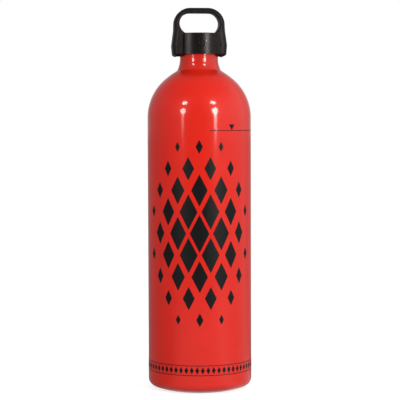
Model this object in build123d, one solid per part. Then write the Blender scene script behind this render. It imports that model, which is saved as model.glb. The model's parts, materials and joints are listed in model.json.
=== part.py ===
from build123d import *
import math
import os

# Camping fuel bottle: a pressed aluminium bottle with a push-and-turn cap.
# Lengths are millimetres and angles are degrees. The origin is on the ground
# under the middle of the foot, +Z is up, and the cap's loop opens along Y.

# Bottle, outside
body_radius = 38.1
straight_top = 199.1          # height where the straight wall ends
shoulder_radius = 36.9        # first arc above the straight wall
shoulder_angle = 48.4
crown_radius = 56.9           # flatter arc between shoulder and neck
neck_corner_radius = 3.0      # at the neck's foot
neck_flare_radius = 18.0      # slow widening above that corner
neck_flare_angle = 25.0
neck_radius = 14.0
neck_length = 5.6             # straight neck, up to the rim
rim_rounding = 0.4
base_corner_radius = 5.4
base_slope_angle = 18.3
base_slope_width = 5.0
foot_width = 1.4              # flat ring that the bottle stands on
dome_rise = 5.0

# Bottle, inside
wall = 1.0
base_wall = 1.8
neck_wall = 2.0               # at the root of the thread
rim_lead = 0.3

# Thread between neck and plug
thread_pitch = 3.0
thread_depth = 1.25
thread_crest_width = 0.7
thread_flank_angle = 30.0
thread_clearance = 0.2
thread_sink = 0.15            # how far a ridge is rooted in its wall
neck_thread_turns = 3.3
neck_thread_drop = 1.9        # rim to the top of the neck's ridge
plug_thread_turns = 3.0

# Seal
seal_cord_radius = 1.0
seal_squeeze = 0.1            # flattened off each side of the cord
face_gap = 0.02               # between flat faces that bear on each other

# Plug
collar_clearance = 0.15
collar_length = 0.4           # collar below the rim
plug_wall = 2.0
plug_below_thread = 0.6
plug_floor = 1.7
head_clearance = 0.15         # head in the cap's bore
head_flange = 1.3             # below the ring's groove
head_land = 1.1               # above the ring's groove
plug_edge = 0.5

# Crown teeth on the head and under the cap's deck
tooth_count = 12
tooth_inner_radius = 8.6
tooth_length = 3.8
tooth_angle = 13.0
tooth_gap = 0.4               # open height between the teeth at rest
tooth_mesh = 1.4              # engaged height when pushed
tooth_floor_gap = 0.2

# Retaining ring
ring_width = 1.85
ring_thickness = 0.8
ring_seat_depth = 0.45        # groove in the cap's bore
ring_play = 0.05
ring_clearance = 0.2
ring_opening_angle = 24.0

# Spring and its washer
spring_radius = 5.5           # middle of the wire
spring_wire = 0.9
spring_turns = 4
spring_ground = 0.2           # ground off each end
spring_pocket_clearance = 1.0
spring_pocket_depth = 4.2
spring_guide_clearance = 0.4
spring_guide_height = 1.2
washer_thickness = 0.6
washer_clearance = 0.2
washer_bore_radius = 3.0

# Outer cap
skirt_clearance = 0.3         # around the neck
skirt_overlap = 2.4           # down over the neck
skirt_mouth = 0.5             # bevel at the mouth of the bore
barrel_wall = 1.1             # where the barrel is thinnest, front, back and at the wings
barrel_edge = 0.7
face_curve_radius = 22.0      # the barrel's front and back, flatter than its bore
face_half_width = 11.8
face_corner_radius = 0.6
deck_thickness = 2.25

# Wings and loop of the cap, seen from the front
wing_drop = 2.9               # middle of the wings' feet below the skirt
heel_half_width = 15.0        # level part of the feet
heel_rise = 2.4               # the feet slant up from there to their sides
foot_half_width = 19.3
wing_half_width = 20.1
wing_widest_drop = 8.9        # widest place below the deck
waist_half_width = 18.7
waist_rise = 1.5              # waist above the deck
loop_half_width = 18.45       # sides of the loop, carried on to its top
loop_corner_radius = 12.2
loop_bar = 3.85
foot_edge = 1.2
widest_corner_radius = 5.0
waist_corner_radius = 30.0
opening_end_radius = 7.95
opening_half_spacing = 6.8    # middle to the middle of a rounded end
opening_rise = 7.0            # its middle above the deck
opening_edge = 1.2

# Wings and loop, seen from the side
loop_half_depth = 5.0
depth_bend_drop = 1.0         # the sides start to lean in, below the deck
depth_bend_radius = 14.0
wing_edge_radius = 4.2
wing_wall = 1.8
pocket_roof = 3.0             # roof of the wings' pockets below the deck
dimple_radius = 0.8
dimple_depth = 0.5
dimple_half_spacing = 14.4
dimple_drop = 8.6             # below the deck

overrun = 1.0                 # how far a cut runs past what it cuts


def toward(angle, length):
    """A step in the half section at this angle from the radius."""
    turn = math.radians(angle)
    return Vector(length * math.cos(turn), length * math.sin(turn))


# Points of the bottle's half section, as radius and height
shoulder_centre = Vector(body_radius - shoulder_radius, straight_top)
crown_centre = shoulder_centre + toward(shoulder_angle, shoulder_radius - crown_radius)
corner_to_flare = toward(neck_flare_angle, neck_flare_radius - neck_corner_radius)
corner_centre_radius = neck_radius + neck_flare_radius - corner_to_flare.X
crown_angle = math.degrees(
    math.acos((corner_centre_radius - crown_centre.X) / (crown_radius + neck_corner_radius))
)
corner_centre = crown_centre + toward(crown_angle, crown_radius + neck_corner_radius)
flare_centre = corner_centre + corner_to_flare
rim_height = flare_centre.Y + neck_length
base_turn = 90 - base_slope_angle
slope_start_radius = body_radius - base_corner_radius + toward(base_turn, base_corner_radius).X
foot_radius = slope_start_radius - base_slope_width
slope_rise = base_slope_width * math.tan(math.radians(base_slope_angle))
base_corner_height = slope_rise + toward(base_turn, base_corner_radius).Y
base_corner_centre = Vector(body_radius - base_corner_radius, base_corner_height)
dome_edge_radius = foot_radius - foot_width
dome_radius = (dome_edge_radius**2 + dome_rise**2) / (2 * dome_rise)
neck_bore_radius = neck_radius - neck_wall

# Heights of the closure, stacked up from the rim
seal_height = 2 * (seal_cord_radius - seal_squeeze)
seal_low = rim_height + face_gap
head_low = seal_low + seal_height + face_gap
push_travel = tooth_gap + tooth_mesh
tooth_height = tooth_mesh + tooth_floor_gap
groove_low = head_low + head_flange
ring_low = groove_low + ring_clearance + push_travel
groove_high = ring_low + ring_thickness + ring_play
head_high = groove_high + head_land
plug_tooth_tip = head_high + tooth_height
cap_tooth_tip = plug_tooth_tip + tooth_gap
deck_low = cap_tooth_tip + tooth_height
deck_high = deck_low + deck_thickness
skirt_low = rim_height - skirt_overlap
wing_low = skirt_low - wing_drop
opening_height = deck_high + opening_rise
loop_high = opening_height + opening_end_radius + loop_bar
pocket_floor = head_high - spring_pocket_depth
core_roof = pocket_floor - plug_floor
neck_thread_high = rim_height - neck_thread_drop
neck_thread_low = neck_thread_high - neck_thread_turns * thread_pitch
thread_root_width = thread_crest_width + 2 * thread_depth * math.tan(math.radians(thread_flank_angle))
plug_thread_low = neck_thread_low + thread_pitch / 2
plug_low = plug_thread_low - thread_root_width / 2 - plug_below_thread

# Radii of the closure
cap_bore_radius = neck_radius + skirt_clearance
barrel_radius = cap_bore_radius + barrel_wall
wing_half_depth = math.sqrt(barrel_radius**2 - face_half_width**2)
head_radius = cap_bore_radius - head_clearance
collar_radius = neck_bore_radius - collar_clearance
seal_radius = collar_radius + collar_clearance + seal_cord_radius
plug_root_radius = neck_bore_radius - thread_depth - thread_clearance
core_radius = plug_root_radius - plug_wall
ring_outer_radius = cap_bore_radius + ring_seat_depth
ring_inner_radius = ring_outer_radius - ring_width
groove_radius = ring_inner_radius - ring_clearance
spring_pocket_radius = spring_radius + spring_wire / 2 + spring_pocket_clearance
spring_guide_radius = spring_radius - spring_wire / 2 - spring_guide_clearance
washer_radius = spring_pocket_radius - washer_clearance
washer_low = pocket_floor + face_gap
spring_low = washer_low + washer_thickness + face_gap
spring_high = deck_low - face_gap


def arc(centre, radius, start, end):
    """An arc of the half section between two angles, in degrees."""
    return CenterArc((centre.X, centre.Y), radius, start, end - start)


def tube(outer_radius, inner_radius, low, high):
    """A round ring about the axis between two heights."""
    around = (Align.CENTER, Align.CENTER, Align.MIN)
    ring = Cylinder(outer_radius, high - low, align=around)
    if inner_radius > 0:
        ring -= Cylinder(inner_radius, high - low, align=around)
    return Pos(0, 0, low) * ring


def closed_section(edges):
    """The face that a closed half section bounds, in the XZ plane."""
    return make_face([Plane.XZ * edge for edge in edges])


def ridge(wall_radius, inward, low, turns):
    """One thread ridge on a wall, with its root sunk a little into that wall."""
    side = -1 if inward else 1
    path = Helix(pitch=thread_pitch, height=turns * thread_pitch, radius=wall_radius)
    sunk_width = thread_root_width + 2 * thread_sink * math.tan(math.radians(thread_flank_angle))
    outline = Polyline(
        (-side * thread_sink, -sunk_width / 2),
        (side * thread_depth, -thread_crest_width / 2),
        (side * thread_depth, thread_crest_width / 2),
        (-side * thread_sink, sunk_width / 2),
        close=True,
    )
    start = Plane(origin=path @ 0, x_dir=(1, 0, 0), z_dir=path % 0)
    return Pos(0, 0, low) * sweep(start * make_face(outline), path=path, is_frenet=True)


def bottle_shell():
    """The pressed bottle: outside, dome under the base, cavity and neck thread."""
    slope_start = base_corner_centre + toward(-base_turn, base_corner_radius)
    rim_curl = Vector(neck_radius - rim_rounding, rim_height - rim_rounding)
    outside = closed_section([
        Line((0, 0), (foot_radius, 0)),
        Line((foot_radius, 0), (slope_start.X, slope_start.Y)),
        arc(base_corner_centre, base_corner_radius, -base_turn, 0),
        Line((body_radius, base_corner_height), (body_radius, straight_top)),
        arc(shoulder_centre, shoulder_radius, 0, shoulder_angle),
        arc(crown_centre, crown_radius, shoulder_angle, crown_angle),
        arc(corner_centre, neck_corner_radius, 180 + crown_angle, 180 + neck_flare_angle),
        arc(flare_centre, neck_flare_radius, 180 + neck_flare_angle, 180),
        Line((neck_radius, flare_centre.Y), (neck_radius, rim_curl.Y)),
        arc(rim_curl, rim_rounding, 0, 90),
        Line((rim_curl.X, rim_height), (0, rim_height)),
        Line((0, rim_height), (0, 0)),
    ])
    inner_corner = base_corner_radius - wall
    inner_slope = base_corner_centre + toward(-base_turn, inner_corner)
    inner_foot_height = inner_slope.Y - inner_slope.X * math.tan(math.radians(base_slope_angle))
    inner_crown = crown_radius - wall
    bore_angle = math.degrees(math.acos((neck_bore_radius - crown_centre.X) / inner_crown))
    bore_start = crown_centre + toward(bore_angle, inner_crown)
    inner_radius = body_radius - wall
    cavity = closed_section([
        Line((0, inner_foot_height), (inner_slope.X, inner_slope.Y)),
        arc(base_corner_centre, inner_corner, -base_turn, 0),
        Line((inner_radius, base_corner_height), (inner_radius, straight_top)),
        arc(shoulder_centre, shoulder_radius - wall, 0, shoulder_angle),
        arc(crown_centre, inner_crown, shoulder_angle, bore_angle),
        Line((neck_bore_radius, bore_start.Y), (neck_bore_radius, rim_height - rim_lead)),
        Line((neck_bore_radius, rim_height - rim_lead), (neck_bore_radius + rim_lead, rim_height)),
        Line((neck_bore_radius + rim_lead, rim_height), (0, rim_height)),
        Line((0, rim_height), (0, inner_foot_height)),
    ])
    dome_centre = Pos(0, 0, dome_rise - dome_radius)
    body = revolve(outside, Axis.Z) - dome_centre * Sphere(dome_radius)
    hollow = revolve(cavity, Axis.Z) - dome_centre * Sphere(dome_radius + base_wall)
    return body - hollow + ridge(neck_bore_radius, True, neck_thread_low, neck_thread_turns)


def crown_teeth(low, first_angle):
    """A ring of upright teeth that starts at this height."""
    outer = tooth_inner_radius + tooth_length
    half = math.radians(tooth_angle / 2)
    wedge_reach = outer + overrun
    wedge = Polyline(
        (0, 0),
        (wedge_reach, -wedge_reach * math.tan(half)),
        (wedge_reach, wedge_reach * math.tan(half)),
        close=True,
    )
    tooth = extrude(make_face(wedge), amount=tooth_height)
    tooth = Pos(0, 0, low) * tooth & tube(outer, tooth_inner_radius, low, low + tooth_height)
    step = 360 / tooth_count
    return [Rot(0, 0, first_angle + step * number) * tooth for number in range(tooth_count)]


def threaded_plug():
    """The inner plug: threaded shank, collar for the seal, grooved head, crown teeth."""
    plug = tube(plug_root_radius, core_radius, plug_low, head_low)
    plug = chamfer(plug.edges().filter_by(GeomType.CIRCLE).group_by(Axis.Z)[0], plug_edge)
    plug += tube(collar_radius, 0, rim_height - collar_length, head_low)
    plug += tube(head_radius, 0, head_low, head_high)
    plug -= tube(core_radius, 0, plug_low, core_roof)
    plug -= tube(spring_pocket_radius, 0, pocket_floor, head_high + overrun)
    plug -= tube(head_radius + overrun, groove_radius, groove_low, groove_high)
    for tooth in crown_teeth(head_high, 180 / tooth_count):
        plug += tooth
    return plug + ridge(plug_root_radius, False, plug_thread_low, plug_thread_turns)


def o_ring():
    """The seal, squeezed a little between the head and the rim."""
    middle = Pos(seal_radius, seal_low + seal_height / 2)
    cord = middle * (Circle(seal_cord_radius) & Rectangle(2 * seal_cord_radius, seal_height))
    return revolve(Plane.XZ * cord, Axis.Z)


def thrust_washer():
    """The washer under the spring."""
    return tube(washer_radius, washer_bore_radius, washer_low, washer_low + washer_thickness)


def coil_path(radius, low, high, turns):
    """A coil as tangent arcs, two for each quarter turn, from its lowest point up."""
    quarters = 4 * turns
    climb = (high - low) / (turns * 2 * math.pi)

    def place(turn):
        return Vector(radius * math.cos(turn), radius * math.sin(turn), low + climb * turn)

    def heading(turn):
        return Vector(-radius * math.sin(turn), radius * math.cos(turn), climb).normalized()

    arcs = []
    for number in range(quarters):
        start, end = number * math.pi / 2, (number + 1) * math.pi / 2
        first, last = place(start), place(end)
        leave, arrive = heading(start), heading(end)
        chord, sum_ways = last - first, leave + arrive
        bend = 2 * (1 - leave.dot(arrive))
        along = chord.dot(sum_ways)
        reach = (math.sqrt(along**2 + bend * chord.dot(chord)) - along) / bend
        middle = (first + last + (leave - arrive) * reach) / 2
        middle_way = (last - arrive * reach) - (first + leave * reach)
        arcs.append(TangentArc(first, middle, tangent=leave))
        arcs.append(TangentArc(middle, last, tangent=middle_way))
    return Wire([piece.edge() for piece in arcs])


def return_spring():
    """The coil that lifts the outer cap, with its ends ground flat."""
    inset = spring_wire / 2 - spring_ground
    path = coil_path(spring_radius, spring_low + inset, spring_high - inset, spring_turns)
    wire = Plane(origin=path @ 0, z_dir=path % 0) * Circle(spring_wire / 2)
    coil = sweep(wire, path=path)
    samples_per_turn = 40
    samples = samples_per_turn * spring_turns
    points = [path @ (number / samples) for number in range(samples + 1)]
    half_turn = samples_per_turn // 2
    gap = min(
        (one - other).length
        for index, one in enumerate(points)
        for other in points[index + half_turn:]
    )
    print(f"least gap between the spring's turns: {gap - spring_wire:.2f} mm")
    return coil & tube(spring_radius + spring_wire, 0, spring_low, spring_high)


def retaining_ring():
    """The open ring that keeps the cap on the plug's head."""
    ring = tube(ring_outer_radius, ring_inner_radius, ring_low, ring_low + ring_thickness)
    reach = ring_outer_radius + overrun
    half = math.radians(ring_opening_angle / 2)
    mouth = Polyline(
        (0, 0),
        (-reach * math.tan(half), reach),
        (reach * math.tan(half), reach),
        close=True,
    )
    return ring - Pos(0, 0, ring_low) * extrude(make_face(mouth), amount=ring_thickness)


def wing_block():
    """Wings and loop in one rounded block, before its opening and pockets are cut."""
    front = Polygon(
        (-foot_half_width, wing_low),
        (foot_half_width, wing_low),
        (wing_half_width, deck_high - wing_widest_drop),
        (waist_half_width, deck_high + waist_rise),
        (loop_half_width, loop_high),
        (-loop_half_width, loop_high),
        (-waist_half_width, deck_high + waist_rise),
        (-wing_half_width, deck_high - wing_widest_drop),
        align=None,
    )
    front = fillet(front.vertices().group_by(Axis.Y)[3], loop_corner_radius)
    front = fillet(front.vertices().group_by(Axis.Y)[2], waist_corner_radius)
    front = fillet(front.vertices().group_by(Axis.Y)[1], widest_corner_radius)
    bend_height = deck_high - depth_bend_drop
    side = make_face([
        ThreePointArc((-wing_half_depth, skirt_low), (0, wing_low), (wing_half_depth, skirt_low)),
        *Polyline(
            (wing_half_depth, skirt_low),
            (wing_half_depth, bend_height),
            (loop_half_depth, loop_high),
            (-loop_half_depth, loop_high),
            (-wing_half_depth, bend_height),
            (-wing_half_depth, skirt_low),
        ).edges(),
    ])
    side = fillet(side.vertices().group_by(Axis.Y)[1], depth_bend_radius)
    block = extrude(Plane.XZ * front, amount=wing_half_depth + overrun, both=True)
    block &= extrude(Plane.YZ * side, amount=wing_half_width + overrun, both=True)
    block = fillet(long_edges(block), wing_edge_radius)
    for side in (-1, 1):
        block -= slant_under(side)
    return fillet(round_the_feet(block), foot_edge)


def way_at_middle(edge):
    """The way an edge runs at its middle, without its sign."""
    middle_share = 0.5
    way = edge % middle_share
    return Vector(abs(way.X), abs(way.Y), abs(way.Z))


def runs_front_to_back(edge):
    """Whether an edge runs through the cap's depth rather than along its outline."""
    way = way_at_middle(edge)
    return way.Y > max(way.X, way.Z)


def long_edges(block):
    """The edges along the block's outline, front and back, but not those round its foot."""
    def runs_along(edge):
        way = way_at_middle(edge)
        level = edge.geom_type == GeomType.LINE and way.X > max(way.Y, way.Z)
        on_top = edge.center().Z > loop_high - loop_bar
        return not runs_front_to_back(edge) and (on_top or not level)

    return block.edges().filter_by(runs_along)


def slant_under(side):
    """What the slant under one foot takes away."""
    slope = heel_rise / (foot_half_width - heel_half_width)
    reach = wing_half_width + overrun - heel_half_width
    outline = Polygon(
        (side * (heel_half_width - overrun), wing_low - slope * overrun),
        (side * (heel_half_width + reach), wing_low - slope * overrun),
        (side * (heel_half_width + reach), wing_low + slope * reach),
        align=None,
    )
    return extrude(Plane.XZ * outline, amount=wing_half_depth + overrun, both=True)


def round_the_feet(block):
    """The edges where the feet's undersides meet the sides."""
    undersides = block.faces().filter_by(lambda face: face.center().Z < wing_low + heel_rise)
    edges = undersides.edges()
    return [edge for edge in edges if not runs_front_to_back(edge) or abs(edge.center().X) > heel_half_width]


def loop_opening():
    """The long round-ended opening that fingers or a cord go through."""
    slot = SlotCenterToCenter(2 * opening_half_spacing, 2 * opening_end_radius)
    place = Plane.XZ * Pos(0, opening_height)
    return extrude(place * slot, amount=wing_half_depth + overrun, both=True)


def wing_pockets():
    """The hollows in the wings, open downwards, outside the barrel's wall."""
    low, high = wing_low - overrun, deck_high - pocket_roof
    outline = RectangleRounded(
        2 * (foot_half_width - wing_wall),
        2 * (wing_half_depth - wing_wall),
        wing_edge_radius - wing_wall,
    )
    return Pos(0, 0, low) * extrude(outline, amount=high - low) - tube(barrel_radius, 0, skirt_low, high)


def wing_dimples():
    """A small round dimple on each wing, front and back."""
    mark = Cylinder(dimple_radius, 2 * dimple_depth)
    height = deck_high - dimple_drop
    return [
        Pos(across * dimple_half_spacing, depth * wing_half_depth, height) * Rot(90, 0, 0) * mark
        for across in (-1, 1)
        for depth in (-1, 1)
    ]


def cap_barrel():
    """The barrel: round within the wings, with a broad, flatter front and back."""
    shift = face_curve_radius - barrel_radius
    outline = Rectangle(2 * face_half_width, 2 * barrel_radius)
    for side in (-1, 1):
        outline &= Pos(0, side * shift) * Circle(face_curve_radius)
    outline = fillet(outline.vertices(), face_corner_radius)
    faces = Pos(0, 0, skirt_low) * extrude(outline, amount=deck_high - skirt_low)
    faces = fillet(faces.edges().group_by(Axis.Z)[-1], barrel_edge)
    return faces + tube(barrel_radius, 0, skirt_low, deck_high - barrel_edge)


def cap_shell():
    """The outer cap: barrel, wings with pockets below, loop, teeth and ring seat."""
    block = wing_block()
    cap = block - loop_opening()
    rims = [edge for edge in new_edges(block, combined=cap) if not runs_front_to_back(edge)]
    cap = fillet(rims, opening_edge)
    cap = cap - wing_pockets() + cap_barrel()
    for dimple in wing_dimples():
        cap -= dimple
    mouth_low = wing_low - overrun
    mouth = Pos(0, 0, wing_low) * Cone(
        cap_bore_radius + skirt_mouth, cap_bore_radius, skirt_mouth,
        align=(Align.CENTER, Align.CENTER, Align.MIN),
    )
    cap = cap - tube(cap_bore_radius, 0, mouth_low, deck_low) - mouth
    cap -= tube(ring_outer_radius, 0, ring_low, ring_low + ring_thickness)
    cap += tube(spring_guide_radius, 0, deck_low - spring_guide_height, deck_low)
    for tooth in crown_teeth(cap_tooth_tip, 0):
        cap += tooth
    return cap


def main():
    os.makedirs("parts", exist_ok=True)
    pieces = {
        "bottle_shell": bottle_shell(),
        "cap_shell": cap_shell(),
        "threaded_plug": threaded_plug(),
        "o_ring": o_ring(),
        "return_spring": return_spring(),
        "thrust_washer": thrust_washer(),
        "retaining_ring": retaining_ring(),
    }
    for name, shape in pieces.items():
        export_step(shape, f"parts/{name}.step")


main()
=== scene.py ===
import json
import math

import bmesh
import bpy
from bpy.props import FloatProperty, FloatVectorProperty, IntProperty, PointerProperty
from bpy.types import Operator, Panel, PropertyGroup
from mathutils import Matrix, Vector


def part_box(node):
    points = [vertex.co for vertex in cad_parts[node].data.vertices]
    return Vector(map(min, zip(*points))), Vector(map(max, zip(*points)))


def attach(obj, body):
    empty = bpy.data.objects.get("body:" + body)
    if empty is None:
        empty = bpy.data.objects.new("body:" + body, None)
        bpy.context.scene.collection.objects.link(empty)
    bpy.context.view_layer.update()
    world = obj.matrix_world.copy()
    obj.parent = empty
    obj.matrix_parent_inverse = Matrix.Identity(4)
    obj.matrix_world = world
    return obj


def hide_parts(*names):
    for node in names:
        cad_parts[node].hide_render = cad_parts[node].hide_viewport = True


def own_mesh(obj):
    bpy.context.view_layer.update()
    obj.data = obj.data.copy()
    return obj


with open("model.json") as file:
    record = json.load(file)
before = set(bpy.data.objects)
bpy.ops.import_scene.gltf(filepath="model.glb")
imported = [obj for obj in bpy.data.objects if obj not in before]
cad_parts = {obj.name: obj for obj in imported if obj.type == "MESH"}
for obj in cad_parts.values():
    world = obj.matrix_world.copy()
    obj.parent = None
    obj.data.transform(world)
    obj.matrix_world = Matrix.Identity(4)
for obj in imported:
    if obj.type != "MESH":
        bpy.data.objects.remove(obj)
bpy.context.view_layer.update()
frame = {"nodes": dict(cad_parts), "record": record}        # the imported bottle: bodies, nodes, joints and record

bl_info = {
    "name": "Camping Fuel Bottle",
    "version": (1, 0, 0),
    "blender": (4, 5, 0),
    "location": "View3D > Sidebar > Fuel Bottle",
    "description": "Dresses a packed fuel bottle: coat, print, cap, spring and studio",
    "category": "Object",
}

# Places that the frame gives, in metres
BOTTLE_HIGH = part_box("bottle_shell")[1]
CAP_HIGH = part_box("cap_shell")[1]
SPRING_LOW, SPRING_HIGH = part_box("return_spring")
MOUNTS = {mount["name"]: mount for mount in frame["record"]["mounts"]}
SLEEVE = MOUNTS["body_sleeve"]

MM = 0.001
TO_FRONT = math.pi / 2        # turns a flat primitive to face the front
BODY_RADIUS = BOTTLE_HIGH.x
BARREL_RADIUS = CAP_HIGH.y
FACE_CURVE_RADIUS = 22 * MM   # the cap's broad front and back are flatter than its bore
FACE_HALF_WIDTH = 11.8 * MM
WALL_TOP = SLEEVE["pos_m"][2] + SLEEVE["dims"]["length_mm"] * MM / 2
NECK_SHADE_LOW = 226 * MM      # painted shade on the neck under the cap sets in here
NECK_SHADE_HIGH = 231.5 * MM
NECK_INSIDE_RADIUS = 13.65 * MM   # within this radius and above this height the neck is bare
NECK_INSIDE_LOW = 225 * MM
FLOOR_WIDTH = 60.0

# How finely round pieces are divided
WALL_SIDES = 160
WIRE_SIDES = 16
STEPS_PER_TURN = 48
MARK_SIDES = 48
MARK_STRIP = 0.4 * MM         # width of the flat strips that the mark is bent from
WELD = 0.001 * MM             # corners closer than this are one corner


# The lamps: angles in degrees from the camera's side, sizes in metres and powers in watts.
# A lean turns a lamp about the line to the bottle.
LAMPS = {
    "left_head": dict(
        shape="ELLIPSE", azimuth=-36, elevation=13.2, width=0.25, height=0.28, power=2.9, lean=0,
    ),
    "left_tail": dict(
        shape="RECTANGLE", azimuth=-36, elevation=4, width=0.14, height=0.20, power=0.32, lean=0,
    ),
    "left_spot": dict(
        shape="ELLIPSE", azimuth=-35.5, elevation=31, width=0.24, height=0.15, power=1.9, lean=20,
    ),
    "right_head": dict(
        shape="ELLIPSE", azimuth=35.4, elevation=14, width=0.29, height=0.32, power=4.8, lean=0,
    ),
    "right_tail": dict(
        shape="RECTANGLE", azimuth=35.8, elevation=4.5, width=0.15, height=0.22, power=1.15, lean=0,
    ),
    "right_spot": dict(
        shape="ELLIPSE", azimuth=34.5, elevation=32, width=0.26, height=0.15, power=2.2, lean=-16,
    ),
}


class PrintSettings(PropertyGroup):
    """The pattern printed on the bottle's wall."""
    ink: FloatVectorProperty(
        name="Ink", description="Colour of the printing ink",
        subtype="COLOR", size=3, min=0, max=1, default=(0.006, 0.006, 0.007),
    )
    film: FloatProperty(
        name="Film", description="How far the ink stands on the coat",
        unit="LENGTH", default=0.05 * MM,
    )
    sink: FloatProperty(
        name="Sink", description="How far the ink's back reaches into the wall",
        unit="LENGTH", default=0.2 * MM,
    )
    strip: FloatProperty(
        name="Strip", description="Width of the flat strips that a print is bent from",
        unit="LENGTH", default=1.5 * MM,
    )
    turn: FloatProperty(
        name="Turn", description="How far round to the right the middle of the print is",
        subtype="ANGLE", default=math.radians(-6),
    )
    pitch_round: FloatProperty(
        name="Pitch round", description="Spacing of the diamonds round the bottle",
        unit="LENGTH", default=16 * MM,
    )
    pitch_up: FloatProperty(
        name="Pitch up", description="Spacing of the diamonds up the bottle",
        unit="LENGTH", default=31 * MM,
    )
    largest_share: FloatProperty(
        name="Largest", description="Share of its cell that the largest diamond fills",
        subtype="FACTOR", min=0, max=1, default=0.88,
    )
    smallest_share: FloatProperty(
        name="Smallest", description="Share of its cell below which no diamond is printed",
        subtype="FACTOR", min=0, max=1, default=0.16,
    )
    corner: FloatProperty(
        name="Corner", description="Rounding of the diamonds' corners",
        unit="LENGTH", default=0.4 * MM,
    )
    field_height: FloatProperty(
        name="Field height", description="Height of the middle of the pattern",
        unit="LENGTH", default=116 * MM,
    )
    field_half_round: FloatProperty(
        name="Field half width", description="Reach of the pattern to each side, round the bottle",
        unit="LENGTH", default=50 * MM,
    )
    field_half_up: FloatProperty(
        name="Field half height", description="Reach of the pattern up and down",
        unit="LENGTH", default=78 * MM,
    )
    line: FloatProperty(
        name="Line", description="Width of the printed lines",
        unit="LENGTH", default=0.45 * MM,
    )
    fill_height: FloatProperty(
        name="Fill height", description="Height of the line for the highest fill",
        unit="LENGTH", default=189.6 * MM,
    )
    fill_start: FloatProperty(
        name="Fill line start", description="Where the fill line starts, round the bottle",
        unit="LENGTH", default=7.5 * MM,
    )
    fill_end: FloatProperty(
        name="Fill line end", description="Where the fill line ends, round the bottle",
        unit="LENGTH", default=58 * MM,
    )
    pointer_aside: FloatProperty(
        name="Pointer aside", description="Place of the triangle above the fill line",
        unit="LENGTH", default=25 * MM,
    )
    pointer_radius: FloatProperty(
        name="Pointer radius", description="From the middle of the triangle to its corners",
        unit="LENGTH", default=2.6 * MM,
    )
    border_height: FloatProperty(
        name="Border height", description="Height of the middle of the border at the foot",
        unit="LENGTH", default=17.5 * MM,
    )
    border_band: FloatProperty(
        name="Border band", description="Height of the border between its two lines",
        unit="LENGTH", default=7 * MM,
    )
    border_gap: FloatProperty(
        name="Border gap", description="From the border's lines to the tips of its diamonds",
        unit="LENGTH", default=0.675 * MM,
    )
    border_share: FloatProperty(
        name="Border share", description="Share of their spacing that the small diamonds are wide",
        subtype="FACTOR", min=0, max=1, default=0.7,
    )
    border_count: IntProperty(
        name="Border diamonds", description="Number of small diamonds round the foot",
        min=3, default=60,
    )


class FinishSettings(PropertyGroup):
    """The coat, the plastics, the rubber and the metals."""
    coat: FloatVectorProperty(
        name="Coat", description="Colour of the bottle's coat",
        subtype="COLOR", size=3, min=0, max=1, default=(0.76, 0.018, 0.007),
    )
    coat_deep: FloatVectorProperty(
        name="Coat, deep", description="Colour of the coat where it lies thickest",
        subtype="COLOR", size=3, min=0, max=1, default=(0.68, 0.013, 0.006),
    )
    # Painted shade: the share of the coat's brightness kept on the neck, darkened where the cap shades it
    neck_painted_shade: FloatProperty(
        name="Neck tone",
        description="Share of its brightness that the thicker coat on the neck has",
        subtype="FACTOR", min=0, max=1, default=0.80,
    )
    coat_roughness: FloatProperty(
        name="Coat roughness", description="Roughness of the coat under its gloss",
        subtype="FACTOR", min=0, max=1, default=0.34,
    )
    coat_smear: FloatProperty(
        name="Coat smear", description="How far the coat's roughness goes up and down",
        subtype="FACTOR", min=0, max=1, default=0.04,
    )
    plastic: FloatVectorProperty(
        name="Cap plastic", description="Colour of the cap's moulded plastic",
        subtype="COLOR", size=3, min=0, max=1, default=(0.0070, 0.0036, 0.0046),
    )
    face_polish: FloatProperty(
        name="Face polish",
        description="How much less rough the cap's broad faces are than its wings",
        subtype="FACTOR", min=0, max=1, default=0.20,
    )
    plug: FloatVectorProperty(
        name="Plug plastic", description="Colour of the inner plug",
        subtype="COLOR", size=3, min=0, max=1, default=(0.020, 0.020, 0.021),
    )
    rubber: FloatVectorProperty(
        name="Seal rubber", description="Colour of the seal",
        subtype="COLOR", size=3, min=0, max=1, default=(0.012, 0.011, 0.010),
    )
    steel: FloatVectorProperty(
        name="Steel", description="Colour of the stainless steel",
        subtype="COLOR", size=3, min=0, max=1, default=(0.60, 0.60, 0.58),
    )
    aluminium: FloatVectorProperty(
        name="Aluminium", description="Colour of the bare bottle inside",
        subtype="COLOR", size=3, min=0, max=1, default=(0.72, 0.72, 0.71),
    )


class CapSettings(PropertyGroup):
    """The raised mark on the cap and the spring inside it."""
    mark_height: FloatProperty(
        name="Mark height", description="Height of the middle of the turn mark",
        unit="LENGTH", default=254.0 * MM,
    )
    mark_aside: FloatProperty(
        name="Mark aside", description="Place of the turn mark round the barrel",
        unit="LENGTH", default=0.7 * MM,
    )
    mark_radius: FloatProperty(
        name="Mark radius", description="Radius of the mark's arrow",
        unit="LENGTH", default=2.9 * MM,
    )
    mark_stroke: FloatProperty(
        name="Mark stroke", description="Width of the arrow's shaft",
        unit="LENGTH", default=1.0 * MM,
    )
    mark_head: FloatProperty(
        name="Mark head", description="Width of the arrow's head",
        unit="LENGTH", default=2.4 * MM,
    )
    mark_relief: FloatProperty(
        name="Mark relief", description="How far the arrow stands on the barrel",
        unit="LENGTH", default=0.55 * MM,
    )
    mark_edge: FloatProperty(
        name="Mark edge", description="Width of the bevel round the arrow",
        unit="LENGTH", default=0.22 * MM,
    )
    mark_point_share: FloatProperty(
        name="Mark point", description="Length of the arrow's head as a share of its width",
        min=0, default=0.8,
    )
    wire: FloatProperty(
        name="Spring wire", description="Thickness of the spring's wire",
        unit="LENGTH", default=0.9 * MM,
    )
    ground: FloatProperty(
        name="Spring ground", description="How much is ground off each end of the spring",
        unit="LENGTH", default=0.2 * MM,
    )
    turns: IntProperty(
        name="Spring turns", description="Number of turns of the spring",
        min=1, default=4,
    )


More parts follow.
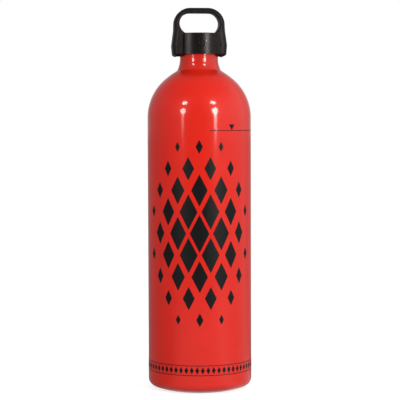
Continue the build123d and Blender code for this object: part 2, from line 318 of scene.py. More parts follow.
class StageSettings(PropertyGroup):
    """The camera, the lamps and the floor."""
    camera_distance: FloatProperty(
        name="Camera distance", description="From the camera to the bottle's axis",
        unit="LENGTH", default=1.062,
    )
    camera_height: FloatProperty(
        name="Camera height", description="Height of the camera above the floor",
        unit="LENGTH", default=191.4 * MM,
    )
    camera_turn: FloatProperty(
        name="Camera turn", description="How far the camera and the lamps stand round to the right",
        subtype="ANGLE", default=math.radians(-6),
    )
    camera_aside: FloatProperty(
        name="Camera aside", description="How far the camera stands to the right of the bottle",
        unit="LENGTH", default=0.4 * MM,
    )
    camera_pitch: FloatProperty(
        name="Camera pitch", description="How far the camera looks down",
        subtype="ANGLE", default=math.radians(2.863),
    )
    camera_roll: FloatProperty(
        name="Camera roll", description="How far the camera leans to its left",
        subtype="ANGLE", default=math.radians(-0.2),
    )
    lens: FloatProperty(
        name="Lens", description="Focal length in millimetres",
        min=1, default=129.5,
    )
    sensor: FloatProperty(
        name="Sensor", description="Width of the camera's sensor in millimetres",
        min=1, default=36.0,
    )
    fill: FloatProperty(
        name="Fill", description="Strength of the light that comes from all round",
        min=0, default=0.66,
    )
    fill_aside: FloatProperty(
        name="Fill aside", description="How much more of the fill comes from the right",
        subtype="FACTOR", min=0, max=1, default=0.68,
    )
    fill_behind: FloatProperty(
        name="Fill behind", description="How much more of the fill comes from behind the bottle",
        subtype="FACTOR", min=-1, max=1, default=0.30,
    )
    fill_above: FloatProperty(
        name="Fill above",
        description="How much more of the fill comes from above than from the sides",
        subtype="FACTOR", min=-1, max=1, default=-0.60,
    )
    mirror_front: FloatProperty(
        name="Mirror front",
        description="Brightness that a glossy surface shows of the camera's side",
        min=0, default=0.10,
    )
    mirror_round: FloatProperty(
        name="Mirror round", description="Brightness that a glossy surface shows of the sides",
        min=0, default=0.30,
    )
    mirror_right: FloatProperty(
        name="Mirror right", description="What the panel on the right adds to that",
        min=0, default=0.40,
    )
    mirror_behind: FloatProperty(
        name="Mirror behind", description="Brightness that a glossy surface shows of the backdrop",
        min=0, default=0.66,
    )
    mirror_above_share: FloatProperty(
        name="Mirror above", description="Share of the sides' brightness that the ceiling has",
        subtype="FACTOR", min=0, max=1, default=0.35,
    )
    mirror_floor_share: FloatProperty(
        name="Mirror floor", description="Share of that brightness that the floor has",
        subtype="FACTOR", min=0, max=1, default=0.60,
    )
    mirror_floor_near: FloatProperty(
        name="Mirror floor, near",
        description="What the floor close in front of the bottle adds to that",
        min=0, default=0.40,
    )
    floor_tone: FloatProperty(
        name="Floor tone", description="Share of its light that the floor sends back",
        subtype="FACTOR", min=0, max=1, default=0.50,
    )
    floor_glow: FloatProperty(
        name="Floor glow", description="What the floor adds to its own light to look white",
        min=0, default=0.75,
    )
    lamp_color: FloatVectorProperty(
        name="Lamp colour", description="Colour of the lamps' light",
        subtype="COLOR", size=3, min=0, max=1, default=(1.0, 0.96, 0.88),
    )
    lamp_reach: FloatProperty(
        name="Lamp reach", description="From the bottle to the lamps",
        unit="LENGTH", default=1.3,
    )


def select_only(piece):
    """Deselects everything but this piece and makes it active."""
    bpy.ops.object.select_all(action="DESELECT")
    piece.select_set(True)
    bpy.context.view_layer.objects.active = piece


def named(name):
    """The object that the last primitive made, under its own name."""
    piece = bpy.context.active_object
    piece.name = name
    piece.data.name = name
    return piece


def edit(piece):
    """Opens the piece in edit mode with all of it selected."""
    select_only(piece)
    bpy.ops.object.mode_set(mode="EDIT")
    bpy.ops.mesh.select_all(action="SELECT")


def leave_edit():
    """Closes the piece that is open in edit mode."""
    bpy.ops.object.mode_set(mode="OBJECT")


def select_by_place(piece, kind, test):
    """In edit mode, selects only the corners or faces whose middle passes a test."""
    bpy.ops.mesh.select_mode(type={"verts": "VERT", "faces": "FACE"}[kind])
    bpy.ops.mesh.select_all(action="DESELECT")
    mesh = bmesh.from_edit_mesh(piece.data)
    for part in getattr(mesh, kind):
        middle = part.co if kind == "verts" else part.calc_center_median()
        part.select_set(bool(test(middle)))
    mesh.select_flush_mode()
    bmesh.update_edit_mesh(piece.data)


def apply_modifier(piece, kind, **values):
    """Adds one modifier, sets it and applies it."""
    select_only(piece)
    bpy.ops.object.modifier_add(type=kind)
    modifier = piece.modifiers[-1]
    for name, value in values.items():
        setattr(modifier, name, value)
    bpy.ops.object.modifier_apply(modifier=modifier.name)


def place_in_mesh(piece):
    """Moves the object's place into its mesh, so that it sits at the origin."""
    select_only(piece)
    bpy.ops.object.transform_apply(location=True, rotation=True, scale=True)


def face_front(piece):
    """Turns all the faces of a flat piece to the front."""
    edit(piece)
    bpy.ops.mesh.normals_make_consistent(inside=False)
    mesh = bmesh.from_edit_mesh(piece.data)
    mesh.faces.ensure_lookup_table()
    if mesh.faces[0].normal.y > 0:
        bpy.ops.mesh.flip_normals()
    leave_edit()


def cut_in_strips(piece, width):
    """Cuts a flat front-facing piece along upright lines at this spacing."""
    spots = [corner.co.x for corner in piece.data.vertices]
    first, last = math.ceil(min(spots) / width), math.floor(max(spots) / width)
    edit(piece)
    for number in range(first, last + 1):
        bpy.ops.mesh.select_all(action="SELECT")
        bpy.ops.mesh.bisect(plane_co=(number * width, 0, 0), plane_no=(1, 0, 0))
    leave_edit()


def wrap_round(piece, radius, depth, turn=0.0):
    """Bends a flat front-facing piece to this radius, with its middle this far from the axis."""
    spots = [corner.co.x for corner in piece.data.vertices]
    apply_modifier(
        piece, "SIMPLE_DEFORM", deform_method="BEND", deform_axis="Z",
        angle=(max(spots) - min(spots)) / radius,
    )
    piece.location.y = -depth
    place_in_mesh(piece)
    piece.rotation_euler.z = turn
    place_in_mesh(piece)


def finish_piece(piece, material, body):
    """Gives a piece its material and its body."""
    piece.data.materials.clear()
    piece.data.materials.append(material)
    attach(piece, body)


def shade_smooth(piece, angle_degrees):
    """Shades the piece smooth, apart from edges that turn by more than this angle."""
    select_only(piece)
    bpy.ops.object.shade_smooth_by_angle(angle=math.radians(angle_degrees))


class Nodes:
    """A node tree under construction, with short ways to add and join its nodes."""

    def __init__(self, owner):
        owner.use_nodes = True
        self.tree = owner.node_tree

    def node(self, kind, inputs=None, **values):
        """Adds a node. Inputs are numbers, or sockets that are linked."""
        node = self.tree.nodes.new("ShaderNode" + kind)
        for name, value in values.items():
            setattr(node, name, value)
        for name, value in (inputs or {}).items():
            self.feed(node, name, value)
        return node

    def put(self, socket, value):
        """Links a socket to this input, or sets the input to a value."""
        if isinstance(value, bpy.types.NodeSocket):
            self.tree.links.new(value, socket)
        else:
            socket.default_value = value

    def feed(self, node, name, value):
        """Feeds the input of this name."""
        self.put(node.inputs[name], value)

    def math(self, operation, *values):
        """The result of one sum on numbers or sockets."""
        return self.node("Math", dict(enumerate(values)), operation=operation).outputs[0]

    def ramp(self, value, low, high):
        """0 below low and 1 above high, smooth between."""
        inputs = {"Value": value, "From Min": low, "From Max": high}
        node = self.node("MapRange", inputs, interpolation_type="SMOOTHSTEP")
        return node.outputs["Result"]

    def noise(self, place, scale, detail=2.0, roughness=0.5):
        """Cloudy noise about 0.5, with this many clouds to the metre."""
        inputs = {"Vector": place, "Scale": scale, "Detail": detail, "Roughness": roughness}
        return self.node("TexNoise", inputs).outputs["Fac"]

    def mix(self, share, first, second):
        """Blends two colours."""
        node = self.node("Mix", data_type="RGBA")
        self.feed(node, "Factor", share)
        colors = [socket for socket in node.inputs if socket.type == "RGBA"]
        for socket, value in zip(colors, (first, second)):
            self.put(socket, value)
        return next(socket for socket in node.outputs if socket.type == "RGBA")

    def spread(self, value, low, high):
        """Takes a value from 0 to 1 to this range."""
        inputs = {"Value": value, "To Min": low, "To Max": high}
        return self.node("MapRange", inputs).outputs["Result"]

    def bump(self, height, distance, strength=1.0, below=None):
        """Relief of this depth, on top of the relief below if there is one."""
        inputs = {"Height": height, "Distance": distance, "Strength": strength}
        if below is not None:
            inputs["Normal"] = below
        return self.node("Bump", inputs).outputs["Normal"]

    def place(self):
        """The point being shaded, in the object's own space."""
        return self.node("TexCoord").outputs["Object"]

    def split(self, vector):
        """The three parts of a vector."""
        return self.node("SeparateXYZ", {"Vector": vector}).outputs

    def radius(self, across, depth):
        """How far a point is from the bottle's axis."""
        across_squared = self.math("MULTIPLY", across, across)
        depth_squared = self.math("MULTIPLY", depth, depth)
        return self.math("SQRT", self.math("ADD", across_squared, depth_squared))

    def glow(self, strength, kind="Emission"):
        """White light of this strength."""
        return self.node(kind, {"Color": opaque((1, 1, 1)), "Strength": strength}).outputs[0]

    def choose(self, share, first, second):
        """The first shader, or the second where share is 1."""
        return self.node("MixShader", {"Fac": share, 1: first, 2: second}).outputs[0]


class Shader(Nodes):
    """A node material under construction."""

    def __init__(self, name):
        self.material = bpy.data.materials.new(name)
        super().__init__(self.material)
        self.surface = self.tree.nodes["Principled BSDF"]
        self.output = self.tree.nodes["Material Output"]


def opaque(color, share=1.0):
    """A colour with its alpha, taken to this share of its brightness."""
    return (*(share * part for part in color), 1.0)


def red_coat(settings):
    """Gloss red coat outside with a fine orange peel, painted shade on the neck under the cap, and bare aluminium
    inside.
    """
    shader = Shader("red_gloss_coat")
    place = shader.place()
    across, depth, height = shader.split(place)
    cloud = shader.noise(place, scale=55.0, detail=3.0)
    color = shader.mix(cloud, opaque(settings.coat), opaque(settings.coat_deep))
    # Painted shade: the coat darkens up the neck towards the cap, standing in for the cap's shade
    under_cap_shade = shader.ramp(height, low=NECK_SHADE_LOW, high=NECK_SHADE_HIGH)
    color = shader.mix(under_cap_shade, color, opaque(settings.coat, settings.neck_painted_shade))
    peel = shader.noise(place, scale=700.0, detail=2.0)
    dust = shader.noise(place, scale=4200.0, detail=1.0)
    relief = shader.bump(peel, distance=0.001 * MM)
    relief = shader.bump(dust, distance=0.001 * MM, below=relief)
    smear = shader.noise(place, scale=160.0, detail=3.0)
    coat = shader.surface
    shader.feed(coat, "Base Color", color)
    rough = shader.spread(
        smear, low=settings.coat_roughness - settings.coat_smear,
        high=settings.coat_roughness + settings.coat_smear,
    )
    shader.feed(coat, "Roughness", rough)
    shader.feed(coat, "Normal", relief)
    coat.inputs["Specular IOR Level"].default_value = 0.1
    coat.inputs["Coat Weight"].default_value = 1.0
    coat.inputs["Coat Roughness"].default_value = 0.09
    coat.inputs["Coat IOR"].default_value = 1.5

    facing = shader.node("TexCoord").outputs["Normal"]
    middle = (0, 0, BOTTLE_HIGH.z / 2)
    outward = shader.node("VectorMath", {0: place, 1: middle}, operation="SUBTRACT").outputs[0]
    ways = {0: facing, 1: outward}
    lean = shader.node("VectorMath", ways, operation="DOT_PRODUCT").outputs["Value"]
    turned_in = shader.math("LESS_THAN", lean, 0.0)
    in_neck = shader.math("LESS_THAN", shader.radius(across, depth), NECK_INSIDE_RADIUS)
    high_up = shader.math("GREATER_THAN", height, NECK_INSIDE_LOW)
    bare = shader.math("MAXIMUM", turned_in, shader.math("MULTIPLY", in_neck, high_up))

    metal = shader.node("BsdfPrincipled")
    turning = shader.node("Mapping", {"Vector": place, "Scale": (30.0, 30.0, 2600.0)}).outputs[0]
    lines = shader.noise(turning, scale=1.0, detail=2.0)
    tone = shader.mix(lines, opaque(settings.aluminium), opaque(settings.aluminium, share=0.85))
    shader.feed(metal, "Base Color", tone)
    shader.feed(metal, "Roughness", shader.spread(lines, low=0.30, high=0.46))
    shader.feed(metal, "Normal", shader.bump(lines, distance=0.01 * MM))
    metal.inputs["Metallic"].default_value = 1.0
    shader.feed(shader.output, "Surface", shader.choose(bare, coat.outputs[0], metal.outputs[0]))
    return shader.material


def printing_ink(settings):
    """Satin black screen ink, a little uneven in gloss."""
    shader = Shader("screen_ink")
    place = shader.place()
    ink = shader.surface
    patch = shader.noise(place, scale=260.0, detail=3.0)
    weave = shader.noise(place, scale=1500.0, detail=2.0)
    thick = opaque(settings.ink, share=0.6)
    shader.feed(ink, "Base Color", shader.mix(patch, opaque(settings.ink), thick))
    shader.feed(ink, "Roughness", shader.spread(patch, low=0.30, high=0.42))
    shader.feed(ink, "Normal", shader.bump(weave, distance=0.006 * MM))
    ink.inputs["Specular IOR Level"].default_value = 0.25
    return shader.material


def moulded_plastic(name, color, calm, rough):
    """Moulded plastic with a fine sparked grain and slightly cloudy gloss."""
    shader = Shader(name)
    place = shader.place()
    plastic = shader.surface
    cloud = shader.noise(place, scale=90.0, detail=3.0)
    grain = shader.noise(place, scale=2600.0, detail=3.0, roughness=0.6)
    shader.feed(plastic, "Base Color", shader.mix(cloud, opaque(color), opaque(color, share=1.25)))
    shader.feed(plastic, "Roughness", shader.spread(cloud, low=calm, high=rough))
    shader.feed(plastic, "Normal", shader.bump(grain, distance=0.02 * MM, strength=0.6))
    plastic.inputs["Specular IOR Level"].default_value = 0.5
    return shader.material


def cap_plastic(settings):
    """The cap's plastic: grained wings and loop, and smoother faces on the barrel."""
    shader = Shader("cap_moulding")
    place = shader.place()
    across, depth, _ = shader.split(place)
    plastic = shader.surface
    cloud = shader.noise(place, scale=110.0, detail=3.0)
    grain = shader.noise(place, scale=3000.0, detail=3.0, roughness=0.6)
    lighter = opaque(settings.plastic, share=1.3)
    shader.feed(plastic, "Base Color", shader.mix(cloud, opaque(settings.plastic), lighter))
    wing_depth = math.sqrt(BARREL_RADIUS**2 - FACE_HALF_WIDTH**2)
    in_front = shader.ramp(
        shader.math("ABSOLUTE", depth), low=wing_depth + 0.1 * MM, high=wing_depth + 0.4 * MM,
    )
    in_width = shader.ramp(
        shader.math("ABSOLUTE", across),
        low=FACE_HALF_WIDTH + 0.2 * MM, high=FACE_HALF_WIDTH - 0.2 * MM,
    )
    face = shader.math("MULTIPLY", in_front, in_width)
    satin = shader.spread(cloud, low=0.42, high=0.54)
    smoother = shader.math("MULTIPLY", face, settings.face_polish)
    shader.feed(plastic, "Roughness", shader.math("SUBTRACT", satin, smoother))
    strength = shader.spread(face, low=0.7, high=0.2)
    shader.feed(plastic, "Normal", shader.bump(grain, distance=0.02 * MM, strength=strength))
    plastic.inputs["Specular IOR Level"].default_value = 0.30
    return shader.material


def seal_rubber(settings):
    """Smooth rubber with a faint bloom."""
    shader = Shader("seal_rubber")
    place = shader.place()
    rubber = shader.surface
    bloom = shader.noise(place, scale=400.0, detail=3.0)
    skin = shader.noise(place, scale=5000.0)
    dusty = opaque(settings.rubber, share=2.0)
    shader.feed(rubber, "Base Color", shader.mix(bloom, opaque(settings.rubber), dusty))
    shader.feed(rubber, "Roughness", shader.spread(bloom, low=0.45, high=0.62))
    shader.feed(rubber, "Normal", shader.bump(skin, distance=0.008 * MM))
    return shader.material


def bright_steel(name, color, stretch):
    """Stainless steel with fine marks, drawn out along the steps of stretch."""
    shader = Shader(name)
    place = shader.place()
    steel = shader.surface
    drawn = shader.node("Mapping", {"Vector": place, "Scale": stretch}).outputs[0]
    marks = shader.noise(drawn, scale=1.0, detail=3.0)
    shader.feed(steel, "Base Color", shader.mix(marks, opaque(color), opaque(color, share=0.8)))
    shader.feed(steel, "Roughness", shader.spread(marks, low=0.18, high=0.34))
    shader.feed(steel, "Normal", shader.bump(marks, distance=0.004 * MM))
    steel.inputs["Metallic"].default_value = 1.0
    return shader.material


def dress_node(node, material):
    """Gives a node of the frame its material."""
    mesh = frame["nodes"][node].data
    mesh.materials.clear()
    mesh.materials.append(material)


class FUELBOTTLE_OT_coat(Operator):
    """Coat the pressed bottle red outside and leave it bare inside"""
    bl_idname = "fuelbottle.coat"
    bl_label = "Coat the bottle"

    def execute(self, context):
        dress_node("bottle_shell", red_coat(context.scene.bottle_finish))
        return {"FINISHED"}


class FUELBOTTLE_OT_closure(Operator):
    """Finish the cap, the plug, the seal, the washer and the retaining ring"""
    bl_idname = "fuelbottle.closure"
    bl_label = "Finish the closure"

    def execute(self, context):
        settings = context.scene.bottle_finish
        dress_node("cap_shell", cap_plastic(settings))
        plug = moulded_plastic("plug_moulding", settings.plug, calm=0.32, rough=0.44)
        dress_node("threaded_plug", plug)
        dress_node("o_ring", seal_rubber(settings))
        stamped = (900.0, 900.0, 150.0)
        dress_node("thrust_washer", bright_steel("washer_steel", settings.steel, stamped))
        dress_node("retaining_ring", bright_steel("ring_steel", settings.steel, stamped))
        return {"FINISHED"}


class FUELBOTTLE_OT_spring(Operator):
    """Model the coil spring that lifts the outer cap"""
    bl_idname = "fuelbottle.spring"
    bl_label = "Wind the return spring"

    def execute(self, context):
        cap, finish = context.scene.bottle_cap, context.scene.bottle_finish
        inset = cap.wire / 2 - cap.ground
        radius = SPRING_HIGH.x - cap.wire / 2
        length = SPRING_HIGH.z - SPRING_LOW.z
        rise = (length - 2 * inset) / cap.turns
        bpy.ops.object.select_all(action="DESELECT")
        bpy.ops.mesh.primitive_circle_add(
            vertices=WIRE_SIDES, radius=cap.wire / 2,
            location=(radius, 0, SPRING_LOW.z + inset), rotation=(TO_FRONT, 0, 0),
        )
        spring = named("coil_spring")
        place_in_mesh(spring)
        apply_modifier(
            spring, "SCREW", axis="Z", angle=math.tau, screw_offset=rise,
            iterations=cap.turns, steps=STEPS_PER_TURN, render_steps=STEPS_PER_TURN,
            use_merge_vertices=False,
        )
        edit(spring)
        bpy.ops.mesh.select_all(action="DESELECT")
        bpy.ops.mesh.select_non_manifold()
        bpy.ops.mesh.fill_holes(sides=0)
        for height, way in ((SPRING_LOW.z, -1), (SPRING_HIGH.z, 1)):
            bpy.ops.mesh.select_all(action="SELECT")
            bpy.ops.mesh.bisect(
                plane_co=(0, 0, height), plane_no=(0, 0, way), use_fill=True, clear_outer=True,
            )
        bpy.ops.mesh.select_all(action="SELECT")
        bpy.ops.mesh.normals_make_consistent(inside=False)
        leave_edit()
        shade_smooth(spring, angle_degrees=40)
        steel = bright_steel("spring_steel", finish.steel, stretch=(1200.0, 1200.0, 1200.0))
        finish_piece(spring, steel, "washer")
        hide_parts("return_spring")
        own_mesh(spring)
        return {"FINISHED"}


def print_flat(piece, settings):
    """Makes a flat outline a thin film of ink and wraps it round the bottle's wall."""
    cut_in_strips(piece, settings.strip)
    piece.location.y = -settings.film
    place_in_mesh(piece)
    apply_modifier(piece, "SOLIDIFY", thickness=settings.film + settings.sink, offset=-1)
    wrap_round(piece, BODY_RADIUS, BODY_RADIUS, settings.turn)
    shade_smooth(piece, angle_degrees=30)


def add_diamond(aside, height, width, tall):
    """Adds one diamond to the flat print that is open in edit mode."""
    bpy.ops.mesh.primitive_circle_add(
        vertices=4, radius=width / 2, fill_type="NGON",
        location=(aside, 0, height), rotation=(TO_FRONT, 0, 0),
    )
    bpy.ops.transform.resize(value=(1, 1, tall / width))


def start_flat(name):
    """An empty mesh object, open in edit mode, that takes flat shapes."""
    bpy.ops.object.select_all(action="DESELECT")
    bpy.ops.mesh.primitive_plane_add(size=1)
    piece = named(name)
    bpy.ops.object.mode_set(mode="EDIT")
    bpy.ops.mesh.select_all(action="SELECT")
    bpy.ops.mesh.delete(type="VERT")
    return piece


class FUELBOTTLE_OT_diamonds(Operator):
    """Print the field of diamonds that shrink away from its middle"""
    bl_idname = "fuelbottle.diamonds"
    bl_label = "Print the diamond field"

    def execute(self, context):
        settings = context.scene.bottle_print
        piece = start_flat("diamond_print")
        columns = math.ceil(2 * settings.field_half_round / settings.pitch_round)
        rows = math.ceil(2 * settings.field_half_up / settings.pitch_up)
        for row in range(-rows, rows + 1):
            for column in range(-columns, columns + 1):
                if (row + column) % 2:
                    continue
                aside = column * settings.pitch_round / 2
                up = row * settings.pitch_up / 2
                away = math.hypot(aside / settings.field_half_round, up / settings.field_half_up)
                share = settings.largest_share * (1 - away**2)
                if share < settings.smallest_share:
                    continue
                add_diamond(
                    aside, settings.field_height + up,
                    share * settings.pitch_round, share * settings.pitch_up,
                )
        bpy.ops.mesh.select_all(action="SELECT")
        bpy.ops.mesh.bevel(
            offset=settings.corner, segments=3, affect="VERTICES", clamp_overlap=True,
        )
        leave_edit()
        print_flat(piece, settings)
        finish_piece(piece, printing_ink(settings), "bottle")
        return {"FINISHED"}


class FUELBOTTLE_OT_fill_line(Operator):
    """Print the line that shows the highest fill"""
    bl_idname = "fuelbottle.fill_line"
    bl_label = "Print the fill line"

    def execute(self, context):
        settings = context.scene.bottle_print
        piece = start_flat("fill_line")
        start, end = settings.fill_start, settings.fill_end
        bpy.ops.mesh.primitive_plane_add(
            size=1, rotation=(TO_FRONT, 0, 0),
            location=((start + end) / 2, 0, settings.fill_height),
        )
        bpy.ops.transform.resize(value=(end - start, 1, settings.line))
        radius = settings.pointer_radius
        bpy.ops.mesh.primitive_circle_add(
            vertices=3, radius=radius, fill_type="NGON", rotation=(-TO_FRONT, 0, 0),
            location=(settings.pointer_aside, 0, settings.fill_height + settings.line + radius),
        )
        leave_edit()
        face_front(piece)
        print_flat(piece, settings)
        finish_piece(piece, printing_ink(settings), "bottle")
        return {"FINISHED"}


class FUELBOTTLE_OT_border(Operator):
    """Print the border of small diamonds between two lines round the foot"""
    bl_idname = "fuelbottle.border"
    bl_label = "Print the border"

    def execute(self, context):
        settings = context.scene.bottle_print
        piece = start_flat("foot_border")
        round_the_foot = math.tau * BODY_RADIUS
        step = round_the_foot / settings.border_count
        tall = settings.border_band - settings.line - 2 * settings.border_gap
        for number in range(settings.border_count):
            aside = (number + 0.5) * step - round_the_foot / 2
            add_diamond(aside, settings.border_height, settings.border_share * step, tall)
        leave_edit()
        print_flat(piece, settings)
        finish_piece(piece, printing_ink(settings), "bottle")

        lines = start_flat("foot_lines")
        for side in (-1, 1):
            bpy.ops.mesh.primitive_cylinder_add(
                vertices=WALL_SIDES, radius=BODY_RADIUS + settings.film, depth=settings.line,
                end_fill_type="NOTHING",
                location=(0, 0, settings.border_height + side * settings.border_band / 2),
            )
        leave_edit()
        apply_modifier(lines, "SOLIDIFY", thickness=settings.film + settings.sink, offset=-1)
        shade_smooth(lines, angle_degrees=30)
        finish_piece(lines, printing_ink(settings), "bottle")
        return {"FINISHED"}


class FUELBOTTLE_OT_turn_mark(Operator):
    """Raise the round arrow on the front of the cap's barrel"""
    bl_idname = "fuelbottle.turn_mark"
    bl_label = "Raise the turn mark"

    def execute(self, context):
        settings = context.scene.bottle_cap
        piece = start_flat("turn_mark")
        stroke, head = settings.mark_stroke, settings.mark_head
        inner = settings.mark_radius - stroke / 2
        centre = Vector((settings.mark_aside, 0, settings.mark_height))
        bpy.ops.mesh.primitive_circle_add(
            vertices=MARK_SIDES, radius=inner, fill_type="NOTHING",
            rotation=(TO_FRONT, 0, 0), location=centre,
        )
        bpy.ops.mesh.extrude_region_move()
        grown = 1 + stroke / inner
        bpy.ops.transform.resize(value=(grown, 1, grown))

        def in_gap(spot):
            return spot.x > centre.x and spot.z > centre.z

        def at_head(spot):
            return spot.x > centre.x and abs(spot.z - centre.z) < 10 * WELD

        select_by_place(piece, "faces", in_gap)
        bpy.ops.mesh.delete(type="FACE")
        select_by_place(piece, "verts", at_head)
        bpy.ops.mesh.extrude_region_move()
        bpy.ops.transform.resize(value=(head / stroke, 1, 1))
        point = (0, 0, settings.mark_point_share * head)
        bpy.ops.mesh.extrude_region_move(TRANSFORM_OT_translate={"value": point})
        bpy.ops.mesh.merge(type="CENTER")
        bpy.ops.mesh.select_all(action="SELECT")
        bpy.ops.mesh.remove_doubles(threshold=WELD)
        bpy.ops.mesh.normals_make_consistent(inside=False)
        leave_edit()
        face_front(piece)
        piece.location.y = -settings.mark_relief
        place_in_mesh(piece)
        apply_modifier(piece, "SOLIDIFY", thickness=2 * settings.mark_relief, offset=-1)
        apply_modifier(piece, "BEVEL", width=settings.mark_edge, segments=3, limit_method="ANGLE")
        cut_in_strips(piece, MARK_STRIP)
        wrap_round(piece, FACE_CURVE_RADIUS, BARREL_RADIUS)
        shade_smooth(piece, angle_degrees=40)
        color = context.scene.bottle_finish.plastic
        plastic = moulded_plastic("mark_moulding", color, calm=0.16, rough=0.24)
        finish_piece(piece, plastic, "shell")
        return {"FINISHED"}


def aim(thing, target):
    """Turns a lamp at the origin of its own rays towards a point."""
    way = Vector(target) - thing.location
    thing.rotation_euler = way.to_track_quat("-Z", "Y").to_euler()


def round_about(turn, rise, reach, centre):
    """The place at this turn to the right, rise and distance from a point; turn 0 is the front."""
    level = math.cos(rise)
    way = Vector((math.sin(turn) * level, -math.cos(turn) * level, math.sin(rise)))
    return Vector(centre) + reach * way


def add_lamp(name, settings, shape, azimuth, elevation, width, height, power, lean):
    """A flat lamp at this angle from the camera that points at the bottle's shoulder."""
    centre = (0, 0, WALL_TOP)
    turn = settings.camera_turn + math.radians(azimuth)
    place = round_about(turn, math.radians(elevation), settings.lamp_reach, centre)
    bpy.ops.object.light_add(type="AREA", location=place)
    lamp = bpy.context.active_object
    lamp.name = name
    lamp.data.shape = shape
    lamp.data.size, lamp.data.size_y = width, height
    lamp.data.energy = power
    lamp.data.color = settings.lamp_color
    lamp.visible_camera = False
    aim(lamp, centre)
    lamp.rotation_euler.rotate_axis("Z", math.radians(lean))


def make_camera(settings):
    """The camera of the photograph."""
    bpy.ops.object.camera_add()
    camera = bpy.context.active_object
    camera.name = "photo_camera"
    camera.data.lens = settings.lens
    camera.data.sensor_width = settings.sensor
    place = (settings.camera_aside, -settings.camera_distance, settings.camera_height)
    camera.matrix_world = (
        Matrix.Rotation(settings.camera_turn, 4, "Z")
        @ Matrix.Translation(place)
        @ Matrix.Rotation(math.pi / 2 - settings.camera_pitch, 4, "X")
        @ Matrix.Rotation(settings.camera_roll, 4, "Z")
    )
    bpy.context.scene.camera = camera


def mirrored_room(nodes, way, settings):
    """How bright the room is along a way: dark on the camera's side, brighter on the right."""
    turned = nodes.node(
        "VectorRotate", {"Vector": way, "Angle": -settings.camera_turn}, rotation_type="Z_AXIS",
    ).outputs[0]
    aside, along, up = nodes.split(turned)
    panel = nodes.math("MULTIPLY", nodes.math("MAXIMUM", aside, 0.0), settings.mirror_right)
    panel = nodes.math("MULTIPLY", panel, nodes.ramp(along, low=0.75, high=0.35))
    walls = nodes.math("ADD", panel, settings.mirror_round - settings.mirror_front)
    ceiling = nodes.ramp(up, low=0.45, high=0.85)
    dimmed = nodes.spread(ceiling, low=1.0, high=settings.mirror_above_share)
    walls = nodes.math("MULTIPLY", walls, dimmed)
    around = nodes.math("MULTIPLY", walls, nodes.ramp(along, low=-0.93, high=-0.65))
    backdrop = nodes.ramp(along, low=0.85, high=1.0)
    lift = settings.mirror_behind - settings.mirror_round
    behind = nodes.math("MULTIPLY_ADD", backdrop, lift, settings.mirror_front)
    return nodes.math("ADD", around, behind)


def make_floor(settings):
    """A wide pale floor that looks white where nothing shades it."""
    bpy.ops.object.select_all(action="DESELECT")
    bpy.ops.mesh.primitive_plane_add(size=FLOOR_WIDTH)
    floor = named("studio_floor")
    shader = Shader("studio_floor")
    paper = shader.surface
    place = shader.place()
    grey = [settings.floor_tone] * 3
    patches = shader.noise(place, scale=3.0)
    darker, lighter = opaque(grey, share=0.98), opaque(grey, share=1.02)
    shader.feed(paper, "Base Color", shader.mix(patches, darker, lighter))
    paper.inputs["Roughness"].default_value = 0.9
    paper.inputs["Specular IOR Level"].default_value = 0.1
    path = shader.node("LightPath").outputs
    glow = shader.glow(settings.floor_glow)
    lit = shader.node("AddShader", {0: paper.outputs[0], 1: glow}).outputs[0]
    seen = shader.math("MAXIMUM", path["Is Camera Ray"], path["Is Transmission Ray"])
    plain = shader.choose(seen, paper.outputs[0], lit)
    way = shader.node("VectorMath", {0: place}, operation="NORMALIZE").outputs[0]
    room = mirrored_room(shader, way, settings)
    reach = shader.node("VectorMath", {0: place}, operation="LENGTH").outputs["Value"]
    near = shader.ramp(reach, low=1.2, high=0.2)
    near = shader.math("MULTIPLY", near, settings.mirror_floor_near)
    in_front = shader.ramp(shader.split(way)["Y"], low=-0.3, high=-0.9)
    near = shader.math("MULTIPLY", near, in_front)
    mirrored = shader.glow(shader.math("MULTIPLY_ADD", room, settings.mirror_floor_share, near))
    shader.feed(shader.output, "Surface", shader.choose(path["Is Glossy Ray"], plain, mirrored))
    floor.data.materials.append(shader.material)


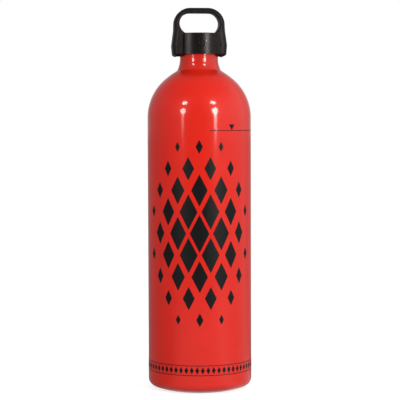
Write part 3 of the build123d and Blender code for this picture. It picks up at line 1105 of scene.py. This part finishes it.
def make_world(settings):
    """White to the eye, dimmer in a glossy surface, and a soft light that leans to one side."""
    world = bpy.data.worlds.new("studio_light")
    bpy.context.scene.world = world
    sky = Nodes(world)
    sky.tree.nodes.clear()
    way = sky.node("TexCoord").outputs["Generated"]
    aside, along, up = sky.split(way)
    lean = sky.math("MULTIPLY_ADD", up, settings.fill_above, 1.0 - settings.fill_above / 2)
    lean = sky.math("MULTIPLY_ADD", aside, settings.fill_aside, lean)
    lean = sky.math("MULTIPLY_ADD", along, settings.fill_behind, lean)
    lean = sky.math("MAXIMUM", lean, 0.0)
    light = sky.glow(sky.math("MULTIPLY", lean, settings.fill), "Background")
    white = sky.glow(1.0, "Background")
    mirrored = sky.glow(mirrored_room(sky, way, settings), "Background")
    path = sky.node("LightPath").outputs
    seen = sky.choose(path["Is Glossy Ray"], light, mirrored)
    clear = sky.math("MAXIMUM", path["Is Camera Ray"], path["Is Transmission Ray"])
    output = sky.node("OutputWorld")
    sky.feed(output, "Surface", sky.choose(clear, seen, white))


class FUELBOTTLE_OT_stage(Operator):
    """Set up the camera, the lamps, the floor and the light from all round"""
    bl_idname = "fuelbottle.stage"
    bl_label = "Set up the studio"

    def execute(self, context):
        settings = context.scene.bottle_stage
        context.scene.view_settings.view_transform = "Standard"
        make_camera(settings)
        make_floor(settings)
        make_world(settings)
        for name, values in LAMPS.items():
            add_lamp(name, settings, **values)
        return {"FINISHED"}


OPERATORS = (
    FUELBOTTLE_OT_coat,
    FUELBOTTLE_OT_closure,
    FUELBOTTLE_OT_spring,
    FUELBOTTLE_OT_diamonds,
    FUELBOTTLE_OT_fill_line,
    FUELBOTTLE_OT_border,
    FUELBOTTLE_OT_turn_mark,
    FUELBOTTLE_OT_stage,
)


class FUELBOTTLE_PT_steps(Panel):
    """Lists the steps that dress the bottle"""
    bl_idname = "FUELBOTTLE_PT_steps"
    bl_label = "Fuel Bottle"
    bl_space_type = "VIEW_3D"
    bl_region_type = "UI"
    bl_category = "Fuel Bottle"

    def draw(self, context):
        for operator in OPERATORS:
            self.layout.operator(operator.bl_idname)


SETTINGS = {
    "bottle_print": PrintSettings,
    "bottle_finish": FinishSettings,
    "bottle_cap": CapSettings,
    "bottle_stage": StageSettings,
}
CLASSES = (*SETTINGS.values(), *OPERATORS, FUELBOTTLE_PT_steps)


def register():
    for each in CLASSES:
        bpy.utils.register_class(each)
    for name, group in SETTINGS.items():
        setattr(bpy.types.Scene, name, PointerProperty(type=group))


def unregister():
    for name in SETTINGS:
        delattr(bpy.types.Scene, name)
    for each in reversed(CLASSES):
        bpy.utils.unregister_class(each)


def main():
    register()
    bpy.ops.fuelbottle.coat()
    bpy.ops.fuelbottle.closure()
    bpy.ops.fuelbottle.spring()
    bpy.ops.fuelbottle.diamonds()
    bpy.ops.fuelbottle.fill_line()
    bpy.ops.fuelbottle.border()
    bpy.ops.fuelbottle.turn_mark()
    bpy.ops.fuelbottle.stage()


if __name__ == "__main__":
    main()
